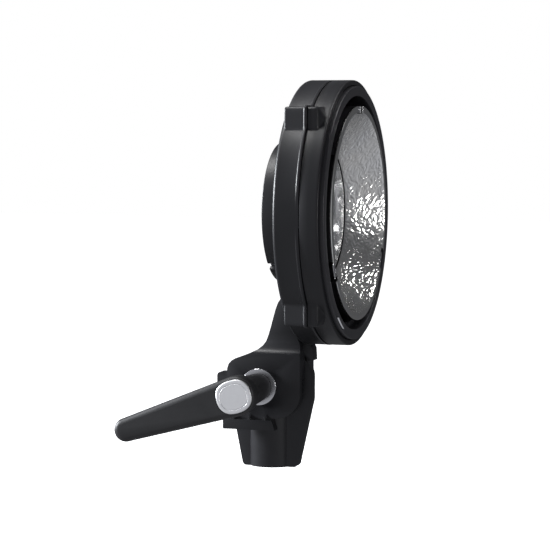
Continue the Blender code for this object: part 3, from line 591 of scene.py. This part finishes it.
def makeLockRing():
    profile = rounded(inMm([(39.1, 66.5), (39.1, 73.6), (47.4, 73.6), (47.4, 72.0), (52.0, 72.0),
                            (52.0, 66.5)]),
                      [0.3 * mm, 0.3 * mm, 0.2 * mm, 0, 0.55 * mm, 0.35 * mm], 4)
    piece = lathe("lockRing", profile, "X", ringCentre, 180)
    claws = [arcBlock("claw", (42.0 * mm, 45.0 * mm), (63.8 * mm, 67.5 * mm), angle - 9.0, angle + 9.0, 10)
             for angle in (45.0, 165.0, 285.0)]
    combine(piece, claws, "UNION")
    slot = arcBlock("cutter", (50.0 * mm, 53.0 * mm), (70.5 * mm, 71.4 * mm), 231.0, 244.0, 10)
    combine(piece, [slot], "DIFFERENCE")
    smooth(piece)
    return settle(piece, "lock_ring", "ring_plastic", ringPlastic, "lock_ring")


def makeRingCatch():
    piece = arcBlock("ringCatch", (50.3 * mm, 53.0 * mm), (70.75 * mm, 71.1 * mm), 232.0, 243.0, 12)
    softenEdges(piece, 0.1 * mm, 2)
    smooth(piece)
    return settle(piece, "lock_ring", "steel", clipMetal, "ring_catch")


makeRearHousing()
makeFrontHousing()
makeCollar()
makeLockRing()
makeRingCatch()
print("ring housing made")


dish = {
    "backX": 34.5 * mm, "frontX": 53.4 * mm, "throatR": 37.5 * mm, "lipR": 57.3 * mm, "rimR": 61.0 * mm,
    "sheet": 0.7 * mm, "bow": 0.92, "around": 800, "along": 70, "pit": 2.4 * mm, "depth": 0.27 * mm,
    "ridge": 0.38, "offset": Vector((7.0, 3.0, 5.0)),
}


def cutNotches(piece):
    # room for the three clips
    notches = [spoke("cutter", angle, 12.5 * mm, (44.0 * mm, 55.0 * mm), (56.5 * mm, 63.0 * mm))
               for angle in notchAngles]
    combine(piece, notches, "DIFFERENCE")


def makeDrum():
    profile = rounded(inMm([(26.5, 54.0), (26.5, 66.0), (28.3, 66.0), (28.3, 60.0), (51.9, 60.0),
                            (51.9, 57.6), (28.3, 57.6), (28.3, 54.0)]), 0.25 * mm, 2)
    piece = lathe("bayonetDrum", profile, "X", ringCentre, 144)
    lands = [arcBlock("land", (45.0 * mm, 51.85 * mm), (59.5 * mm, 61.0 * mm), angle + 3.0, angle + 56.0, 26)
             for angle in notchAngles]
    combine(piece, lands, "UNION")
    cutNotches(piece)
    smooth(piece)
    # the drum's extra-dark plastic is partly painted shade of the gap inside the ring
    return settle(piece, "head", "black_plastic", drumPlasticPaintedShade, "bayonet_drum")


def bowlPoint(part):
    radius = dish["throatR"] + (dish["lipR"] - dish["throatR"]) * part ** dish["bow"]
    return dish["backX"] + (dish["frontX"] - dish["backX"]) * part, radius


def hammerPits(points):
    # depth of the worm-like hammer marks at each point of the bowl
    depths = np.empty(len(points))
    for i, point in enumerate(points):
        place = Vector(point) / dish["pit"]
        wander = noise.noise(place * 0.45 + dish["offset"])
        ridge = abs(noise.noise(place + Vector((wander, 0.0, wander)))) / dish["ridge"]
        depths[i] = min(ridge, 1.0) * (0.75 + 0.5 * wander)
    return depths


def makeReflector():
    around, along = dish["around"], dish["along"]
    turns = np.linspace(0.0, 2 * math.pi, around, endpoint=False)
    rows = []
    for step in range(along + 1):
        x, radius = bowlPoint(step / along)
        rows.append(np.stack([np.full(around, x), radius * np.cos(turns), radius * np.sin(turns)], 1))
    front = np.concatenate(rows)
    slope = math.atan2(dish["lipR"] - dish["throatR"], dish["frontX"] - dish["backX"])
    inward = np.stack([np.full(len(front), -math.sin(slope)),
                       np.tile(np.cos(turns), along + 1) * math.cos(slope),
                       np.tile(np.sin(turns), along + 1) * math.cos(slope)], 1)
    parts = np.repeat(np.linspace(0.0, 1.0, along + 1), around)
    fade = np.clip(parts / 0.03, 0, 1) * np.clip((1 - parts) / 0.03, 0, 1)
    front = front + inward * (hammerPits(front) * fade * dish["depth"])[:, None]
    rings = []
    for i in range(along + 1):
        rings.append([(x, y, z + ringCentre.z) for x, y, z in front[i * around:(i + 1) * around]])

    def plainRing(x, radius):
        return [(x, radius * math.cos(t), ringCentre.z + radius * math.sin(t)) for t in turns]

    rimX, rimR, sheet = dish["frontX"], dish["rimR"], dish["sheet"]
    rings += [plainRing(rimX, dish["lipR"] + 0.15 * mm), plainRing(rimX, rimR - 0.3 * mm),
              plainRing(rimX - 0.1 * mm, rimR - 0.05 * mm), plainRing(rimX - 0.4 * mm, rimR),
              plainRing(rimX - 1.15 * mm, rimR), plainRing(rimX - 1.15 * mm, dish["lipR"])]
    for step in (0.75, 0.5, 0.25, 0.0):
        x, radius = bowlPoint(step)
        rings.append(plainRing(x - sheet, radius + sheet))
    piece = bridge("hammeredDish", rings)
    cutNotches(piece)
    smooth(piece, 50)
    return settle(piece, "head", "hammered_aluminium", hammeredSilver, "reflector")


def makeClips():
    for number, angle in enumerate(notchAngles):
        name = f"dishClip{number + 1}"
        piece = spoke(name, angle, 9.0 * mm, (51.8 * mm, 52.6 * mm), (56.9 * mm, 60.6 * mm))
        leg = spoke("leg", angle, 7.0 * mm, (44.3 * mm, 52.2 * mm), (59.6 * mm, 60.4 * mm))
        combine(piece, [leg], "UNION")
        hole = spoke("cutter", angle, 2.4 * mm, (50.0 * mm, 54.0 * mm), (57.9 * mm, 59.3 * mm))
        combine(piece, [hole], "DIFFERENCE")
        softenEdges(piece, 0.22 * mm, 3)
        smooth(piece)
        settle(piece, "head", "steel", clipMetal, f"reflector_clip_{number + 1}")


def makeThroat():
    profile = rounded(inMm([(7.4, 36.2), (7.4, 37.2), (34.0, 37.2), (34.0, 36.2)]), 0.2 * mm, 3)
    piece = lathe("throatSleeve", profile, "X", ringCentre, 180)
    smooth(piece)
    return settle(piece, "head", "polished_aluminium", polishedSleeve, "throat_sleeve")


makeDrum()
makeReflector()
makeClips()
makeThroat()
print("drum and dish made")


fork = {"half": 14.6 * mm, "reach": 16.5 * mm, "inner": 9.6 * mm, "web": 4.3 * mm, "edge": 0.45 * mm}


def forkOutline():
    front = [(7.4, 22.7), (5.4, 28.9)] + arc((7.4, 44.0), 14.5, -90.0, 0.0, 14) + [(21.9, 66.6)]
    neck = [(20.4, 73.4), (17.8, 77.6), (16.9, 79.8), (16.6, 84.0), (17.2, 86.2), (19.0, 88.4),
            (21.6, 90.2), (23.5, 91.4), (23.5, 112.0), (9.9, 112.0), (9.9, 99.4), (7.6, 96.0),
            (6.2, 92.6), (4.9, 88.0), (3.4, 82.4), (1.9, 77.4)]
    back = [(0.5, 73.6), (-1.4, 71.0), (-4.2, 68.8), (-8.2, 66.8), (-13.0, 64.9), (-16.6, 63.6),
            (-19.0, 62.2), (-20.8, 60.3), (-21.7, 57.6), (-22.6, 30.0), (-23.8, 28.5), (-23.8, 22.7)]
    return inMm(front + neck + back)


def neckSide(side):
    # what is taken off beside the neck, with a hollow ramp at its foot
    points = [(24.0, 67.0)]
    for step in range(13):
        turn = math.radians(90.0 * step / 12)
        points.append((14.6 - 4.6 * math.sin(turn), 76.0 - 9.0 * math.cos(turn)))
    points += [(10.0, 120.0), (24.0, 120.0)]
    return [(side * y * mm, z * mm) for y, z in points]


def hubRoom():
    # space between the cheeks, higher behind than in front
    top = arc((pivot.x, pivot.z), 20.0 * mm, 13.0, 150.0, 32)
    reach, floor = 31.0 * mm, 10.0 * mm
    return [(-reach, top[-1][1]), (-reach, floor), (reach, floor), (reach, top[0][1])] + top


def makeFork():
    piece = plate("tiltFork", forkOutline(), "Y", -fork["reach"], fork["reach"])
    cutters = []
    ribs = []
    for side in (-1, 1):
        low, high = sorted((side * fork["half"], side * 20.0 * mm))
        cutters.append(box("cutter", (-40.0 * mm, low, 28.5 * mm), (40.0 * mm, high, 120.0 * mm)))
        cutters.append(plate("cutter", neckSide(side), "X", -30.0 * mm, 31.0 * mm))
        for x in (-17.4, -8.0, 1.5):
            rise = [(13.0, 27.0), (16.2, 27.0), (16.2, 28.7), (14.4, 32.0), (13.0, 32.0)]
            outline = [(side * y * mm, z * mm) for y, z in rise]
            ribs.append(plate("rib", outline, "X", (x - 0.7) * mm, (x + 0.7) * mm))
    combine(piece, cutters, "DIFFERENCE")
    combine(piece, ribs, "UNION")
    web = inMm([(16.0, 62.5), (27.0, 62.5), (26.6, 69.4), (25.6, 71.2), (21.0, 71.6), (16.0, 76.0)])
    combine(piece, [plate("web", web, "Y", -fork["web"], fork["web"])], "UNION")
    inner = fork["inner"]
    collarR = 40.3 * mm
    combine(piece, [plate("cutter", hubRoom(), "Y", -inner, inner),
                    rod("cutter", "Y", pivot, -4.6 * mm, 4.6 * mm, 30.3 * mm, 96),
                    rod("cutter", "Y", pivot, -20.0 * mm, 20.0 * mm, 4.3 * mm, 40),
                    rod("cutter", "Y", pivot, 11.6 * mm, 21.0 * mm, 7.9 * mm, 6),
                    rod("cutter", "X", ringCentre, 0.0, 23.65 * mm, collarR, 144)], "DIFFERENCE")
    softenEdges(piece, fork["edge"], 3, 30)
    smooth(piece, 35)
    return settle(piece, "head", "black_plastic", blackPlastic, "tilt_fork")


makeFork()
print("fork made")


socket = {
    "tongue": 3.8 * mm, "half": 9.3 * mm, "hubR": 19.0 * mm, "bossHalfX": 12.0 * mm,
    "bossHalfY": 9.2 * mm, "boreR": 8.1 * mm, "edge": 0.5 * mm,
}


def socketOutline():
    footFront = arc((15.0, 2.6), 2.6, -90.0, 0.0, 8)
    footBack = arc((-13.4, 2.6), 2.6, 180.0, 270.0, 8)
    front = [(25.2, 37.0), (25.6, 38.4), (25.8, 40.0), (25.8, 54.0), (25.4, 55.8), (20.5, 65.4),
             (12.0, 69.5), (4.0, 69.5)]
    rearCorner = arc((-29.2, 51.8), 2.2, 90.0, 180.0, 8)
    top = [(-6.0, 65.0), (-15.0, 60.0), (-20.0, 54.4)] + rearCorner + [(-31.4, 47.0)]
    back = [(-29.0, 39.0), (-21.2, 30.0), (-20.0, 22.7)]
    return inMm(footBack + footFront + front + top + back)


def makeSocket():
    origin = Vector((0, 0, 0))
    piece = plate("standSocket", socketOutline(), "Y", -socket["tongue"], socket["tongue"])
    boss = rod("boss", "Z", origin, 0.0, 41.0 * mm, socket["bossHalfX"], 96)
    boss.data.transform(Matrix.Diagonal((1.0, socket["bossHalfY"] / socket["bossHalfX"], 1.0, 1.0)))
    hub = rod("hub", "Y", pivot, -socket["half"], socket["half"], socket["hubR"], 64)
    screwBoss = rod("screwBoss", "Y", knobCentre, 7.0 * mm, 17.2 * mm, 5.2 * mm, 40)
    combine(piece, [hub, boss, screwBoss], "UNION")
    cutters = [rod("cutter", "Z", origin, -2.0 * mm, 35.0 * mm, socket["boreR"], 80),
               rod("cutter", "Y", pivot, -12.0 * mm, 12.0 * mm, 6.2 * mm, 40),
               rod("cutter", "Y", knobCentre, 2.0 * mm, 19.0 * mm, 3.9 * mm, 32)]
    for side in (-1, 1):
        low, high = sorted((side * 8.3 * mm, side * 12.0 * mm))
        cutters.append(rod("cutter", "Y", pivot, low, high, 11.1 * mm, 48))
    combine(piece, cutters, "DIFFERENCE")
    softenEdges(piece, socket["edge"], 3, 30)
    smooth(piece, 35)
    return settle(piece, "bracket", "black_plastic", blackPlastic, "stand_socket")


def makeKnob():
    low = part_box("stand_knob")[0]
    rings = []
    for along, shrink in ((0.0, 0.7), (0.25, 0.25), (0.8, 0.0), (11.2, 0.0), (11.75, 0.25), (12.0, 0.75)):
        ring = []
        for step in range(144):
            angle = 2 * math.pi * step / 144
            radius = (7.4 - shrink + 0.6 * math.cos(6 * angle)) * mm
            height = knobCentre.z + radius * math.sin(angle)
            ring.append((radius * math.cos(angle), low.y + along * mm, height))
        rings.append(ring)
    piece = bridge("standKnob", rings, closed=False, capped=True)
    dent = lathe("cutter", inMm([(11.4, 0.0), (11.4, 4.6), (11.8, 5.0), (13.2, 5.0), (13.2, 0.0)]), "Y",
                 knobCentre + Vector((0, low.y, 0)), 48, False)
    bore = rod("cutter", "Y", knobCentre, 17.0 * mm, 27.0 * mm, 2.7 * mm, 32)
    combine(piece, [dent, bore], "DIFFERENCE")
    smooth(piece)
    return settle(piece, "stand_knob", "black_plastic", blackPlastic, "stand_knob")


makeSocket()
makeKnob()
print("stand side made")


lever = {
    "drop": math.radians(18.4), "length": 69.0 * mm, "hubR": 11.3 * mm, "tipR": 6.8 * mm,
    "outerY": -59.8 * mm, "innerY": -47.5 * mm,
}


def leverRing(y, length, hubR, tipR, steps=26):
    # a tapered capsule in the side view; length 0 leaves a circle round the pivot
    back = 180.0 + math.degrees(lever["drop"])
    lean = math.degrees(math.asin(max(min((hubR - tipR) / length, 1.0), -1.0))) if length > 0 else 0.0
    direction = Vector((-math.cos(lever["drop"]), 0.0, -math.sin(lever["drop"])))
    tip = pivot + direction * length
    hub = arc((pivot.x, pivot.z), hubR, back - 270.0 - lean, back - 90.0 + lean, steps)
    end = arc((tip.x, tip.z), tipR, back - 90.0 + lean, back + 90.0 - lean, steps)
    return [(x, y, z) for x, z in hub[:-1] + end[:-1]]


badge = {"halfLong": 10.3 * mm, "halfWide": 9.3 * mm, "shift": 0.5 * mm, "squareness": 0.84, "gap": 0.25 * mm}


def badgeOutline(extra):
    # a rounded oval, long way along the arm
    made = []
    for step in range(120):
        turn = 2 * math.pi * step / 120
        along = math.copysign(abs(math.cos(turn)) ** badge["squareness"], math.cos(turn))
        across = math.copysign(abs(math.sin(turn)) ** badge["squareness"], math.sin(turn))
        x = -badge["shift"] + (badge["halfLong"] + extra) * along
        z = (badge["halfWide"] + extra) * across
        made.append((pivot.x + x * math.cos(lever["drop"]) - z * math.sin(lever["drop"]),
                     pivot.z + x * math.sin(lever["drop"]) + z * math.cos(lever["drop"])))
    return made


def makeLever():
    length, hubR, tipR = lever["length"], lever["hubR"], lever["tipR"]
    outer, inner = lever["outerY"], lever["innerY"]
    rings = []
    for inset, depth in ((3.2, 0.0), (2.4, 0.10), (1.5, 0.42), (0.8, 0.95), (0.3, 1.7), (0.0, 2.8),
                         (0.0, 5.0), (0.15, 8.0)):
        rings.append(leverRing(outer + depth * mm, length, hubR - inset * mm, tipR - inset * mm))
    for inset, rise in ((0.5, 2.4), (1.2, 1.1), (2.1, 0.35), (3.2, 0.0)):
        rings.append(leverRing(inner - rise * mm, length, hubR - inset * mm * 0.5, tipR - inset * mm))
    for part in (0.75, 0.5, 0.25):
        endR = tipR + (hubR - tipR) * (1 - part) - 1.7 * mm - part * 1.5 * mm
        rings.append(leverRing(inner, length * part, hubR - 1.7 * mm, endR))
    rings.append(leverRing(inner, 0.0, 10.4 * mm, 10.4 * mm))
    for y, radius in ((-46.9, 10.1), (-45.5, 9.85), (-42.0, 9.4), (-36.0, 8.9), (-28.0, 8.5),
                      (-20.0, 8.15), (-17.0, 8.0), (-16.5, 7.85), (-16.3, 7.5)):
        rings.append(leverRing(y * mm, 0.0, radius * mm, radius * mm))
    piece = bridge("leverHandle", rings, closed=False, capped=True)
    bore = inMm([(-72.0, 0.0), (-72.0, 5.4), (-36.0, 5.4), (-36.0, 2.3),
                 (-33.0, 2.3), (-33.0, 6.3), (-10.0, 6.3), (-10.0, 0.0)])
    seat = plate("cutter", badgeOutline(badge["gap"]), "Y", -72.0 * mm, -58.4 * mm)
    combine(piece, [lathe("cutter", bore, "Y", pivot, 72, False), seat], "DIFFERENCE")
    smooth(piece, 40)
    return settle(piece, "lever", "lever_plastic", leverPlastic, "lever_handle")


def makeBadge():
    # plain rounded oval with one shallow groove that follows its edge
    rings = []
    for y, inset in ((-58.7, 0.0), (-59.85, 0.0), (-60.1, 0.12), (-60.25, 0.4), (-60.28, 0.8), (-60.28, 1.9),
                     (-60.12, 2.05), (-60.12, 2.3), (-60.28, 2.45), (-60.28, 5.0), (-60.28, 8.0)):
        rings.append([(x, y * mm, z) for x, z in badgeOutline(-inset * mm)])
    piece = bridge("leverBadge", rings, closed=False, capped=True)
    smooth(piece, 40)
    return settle(piece, "lever", "badge_aluminium", badgeMetal, "lever_badge")


def makeWasher():
    profile = rounded(inMm([(-15.9, 4.3), (-15.9, 10.5), (-14.9, 10.5), (-14.9, 4.3)]), 0.2 * mm, 3)
    piece = lathe("clampWasher", profile, "Y", pivot, 96)
    smooth(piece)
    return settle(piece, "head", "steel", plainSteel, "clamp_washer")


def makeBolt():
    piece = rod("clampBolt", "Y", pivot, 11.9 * mm, 16.8 * mm, 7.5 * mm, 6)
    dome = inMm([(10.0, 0.0), (10.0, 9.0), (15.4, 9.0), (16.9, 6.0), (16.9, 0.0)])
    crown = lathe("cutter", dome, "Y", pivot, 64, False)
    combine(piece, [crown], "INTERSECT")
    combine(piece, [rod("shaft", "Y", pivot, -24.6 * mm, 12.4 * mm, 3.9 * mm, 40)], "UNION")
    softenEdges(piece, 0.15 * mm, 2, 25)
    smooth(piece)
    return settle(piece, "head", "dark_steel", darkSteel, "clamp_bolt")


makeLever()
makeBadge()
makeWasher()
makeBolt()
print("clamp lever made")


spring = {"turns": 5, "perTurn": 24, "coil": 3.5 * mm, "wire": 0.4 * mm}


def makeSpring():
    # a coil of wire round the pivot axis, at one fixed length
    low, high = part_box("lever_spring")
    wire, coil = spring["wire"], spring["coil"]
    steps = spring["turns"] * spring["perTurn"]
    start, end = low.y + wire, high.y - wire
    rings = []
    for step in range(steps + 1):
        turn = 2 * math.pi * step / spring["perTurn"]
        outward = Vector((math.cos(turn), 0.0, math.sin(turn)))
        centre = Vector((pivot.x, start + (end - start) * step / steps, pivot.z)) + outward * coil
        ring = []
        for side in range(12):
            around = 2 * math.pi * side / 12
            offset = outward * wire * math.cos(around) + axisOf["Y"] * wire * math.sin(around)
            ring.append(tuple(centre + offset))
        rings.append(ring)
    piece = bridge("leverSpring", rings, closed=False, capped=True)
    smooth(piece)
    settle(piece, "clamp_nut", "steel", plainSteel, "lever_spring")
    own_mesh(piece)


makeSpring()


def makeScrewSet(name, centres, top, underside, tip, radii):
    # a cap screw with a hexagon socket; top, underside and tip are places along X
    headR, shaftR = radii
    outward = -1.0 if top < underside else 1.0
    for number, centre in enumerate(centres):
        profile = rounded([(top, 0.0), (top, headR), (underside, headR), (underside, shaftR),
                           (tip, shaftR), (tip, 0.0)],
                          [0, 0.3 * mm, 0.1 * mm, 0, 0.3 * mm, 0], 3, closed=False)
        piece = lathe(f"{name}{number + 1}", profile, "X", centre, 40, False)
        low, high = sorted((top + outward * 0.5 * mm, top - outward * 1.2 * mm))
        combine(piece, [rod("cutter", "X", centre, low, high, headR * 0.52, 6)], "DIFFERENCE")
        smooth(piece)
        node = f"{name.replace('Screw', '_screw')}_{number + 1}"
        settle(piece, "head", "dark_steel", darkSteel, node)


def aroundRing(angles, radius):
    turns = [math.radians(angle) for angle in angles]
    return [ringCentre + Vector((0.0, radius * math.cos(turn), radius * math.sin(turn))) for turn in turns]


makeScrewSet("housingScrew", lugScrewCentres(), 26.2 * mm, 28.3 * mm, 43.0 * mm, (2.6 * mm, 1.3 * mm))
makeScrewSet("drumScrew", aroundRing((30.0, 150.0, 270.0), 63.0 * mm),
             30.4 * mm, 28.6 * mm, 24.7 * mm, (2.2 * mm, 1.2 * mm))
makeScrewSet("forkScrew", [Vector((0.0, side * 5.0 * mm, 99.0 * mm)) for side in (-1, 1)],
             28.3 * mm, 26.5 * mm, 13.4 * mm, (2.8 * mm, 1.5 * mm))
print("screws made")


keptFinish = {
    "pivot_bush": plainSteel, "friction_disc_near": fibreDisc, "friction_disc_far": fibreDisc,
    "stand_screw_insert": turnedBrass, "clamp_shoe": turnedBrass, "stand_screw": plainSteel,
    "lever_insert": plainSteel, "lever_screw": plainSteel,
}
for node, material in keptFinish.items():
    kept = frame["nodes"][node]
    kept.data.materials.clear()
    kept.data.materials.append(material)
print("kept pieces finished")


stage = {"floorZ": -0.16, "half": 6.0, "dark": 0.08, "bright": 0.50}


def makeFloor():
    material, _, _, shader = newMaterial("paleFloor", 0.0, 0.2)
    shader.inputs["Base Color"].default_value = (0.8, 0.8, 0.8, 1)
    shader.inputs["Roughness"].default_value = 0.9
    shader.inputs["Emission Color"].default_value = (1, 1, 1, 1)
    shader.inputs["Emission Strength"].default_value = 1.0
    half, level = stage["half"], stage["floorZ"]
    corners = [(-half, -half), (half, -half), (half, half), (-half, half)]
    floor = plate("paleFloor", corners, "Z", level - 0.01, level)
    floor.data.materials.append(material)
    floor.visible_diffuse = False       # a lit floor would wash out the black plastic
    floor.visible_glossy = False


def addLight(name, place, target, size, power, tint=(1, 1, 1)):
    data = bpy.data.lights.new(name, "AREA")
    data.shape = "RECTANGLE"
    data.size, data.size_y = size
    data.energy = power
    data.color = tint
    lamp = bpy.data.objects.new(name, data)
    lamp.location = place
    lamp.rotation_euler = (Vector(target) - Vector(place)).to_track_quat("-Z", "Y").to_euler()
    bpy.context.scene.collection.objects.link(lamp)
    return lamp


def makeWorld():
    # white behind the object; the light itself comes from a dim studio, brightest low on the lever side
    world = bpy.data.worlds.new("studio")
    world.use_nodes = True
    nodes, links = world.node_tree.nodes, world.node_tree.links
    studio = nodes["Background"]
    way = nodes.new("ShaderNodeVectorMath")
    way.operation = "DOT_PRODUCT"
    way.inputs[1].default_value = Vector((-0.1, -0.45, -0.6)).normalized()
    links.new(nodes.new("ShaderNodeTexCoord").outputs["Generated"], way.inputs[0])
    level = nodes.new("ShaderNodeMapRange")
    level.interpolation_type = "SMOOTHSTEP"
    level.inputs["From Min"].default_value = -0.6
    level.inputs["From Max"].default_value = 0.9
    level.inputs["To Min"].default_value = stage["dark"]
    level.inputs["To Max"].default_value = stage["bright"]
    links.new(way.outputs["Value"], level.inputs["Value"])
    studio.inputs["Color"].default_value = (0.93, 0.945, 1.0, 1)
    links.new(level.outputs[0], studio.inputs["Strength"])
    plain = nodes.new("ShaderNodeBackground")
    plain.inputs["Color"].default_value = (1, 1, 1, 1)
    plain.inputs["Strength"].default_value = 1.0
    pick = nodes.new("ShaderNodeMixShader")
    links.new(nodes.new("ShaderNodeLightPath").outputs["Is Camera Ray"], pick.inputs[0])
    links.new(studio.outputs[0], pick.inputs[1])
    links.new(plain.outputs[0], pick.inputs[2])
    links.new(pick.outputs[0], nodes["World Output"].inputs["Surface"])
    bpy.context.scene.world = world


def makeCamera():
    data = bpy.data.cameras.new("camera")
    data.lens = 139.6
    data.sensor_width = 36.0
    data.clip_end = 50.0
    camera = bpy.data.objects.new("camera", data)
    camera.location = (0.3621, -1.1755, 0.2034)
    camera.rotation_euler = (math.radians(90 - 4.3), 0.0, math.radians(17.0))
    bpy.context.scene.collection.objects.link(camera)
    bpy.context.scene.camera = camera


makeFloor()
makeWorld()
makeCamera()
middle = (0.01, 0.0, 0.13)
addLight("rearKey", (-1.6, -0.22, 0.50), middle, (0.45, 0.5), 90.0, (0.93, 0.96, 1.0))
addLight("overhead", (-0.45, -0.05, 1.15), middle, (0.4, 0.4), 9.0)
addLight("dishGlint", (1.45, -0.76, 0.22), middle, (0.46, 0.40), 7.0)
addLight("topSoftbox", (0.55, 0.35, 1.1), middle, (0.42, 0.42), 6.0)
bpy.context.scene.view_settings.view_transform = "Standard"
print("stage made")
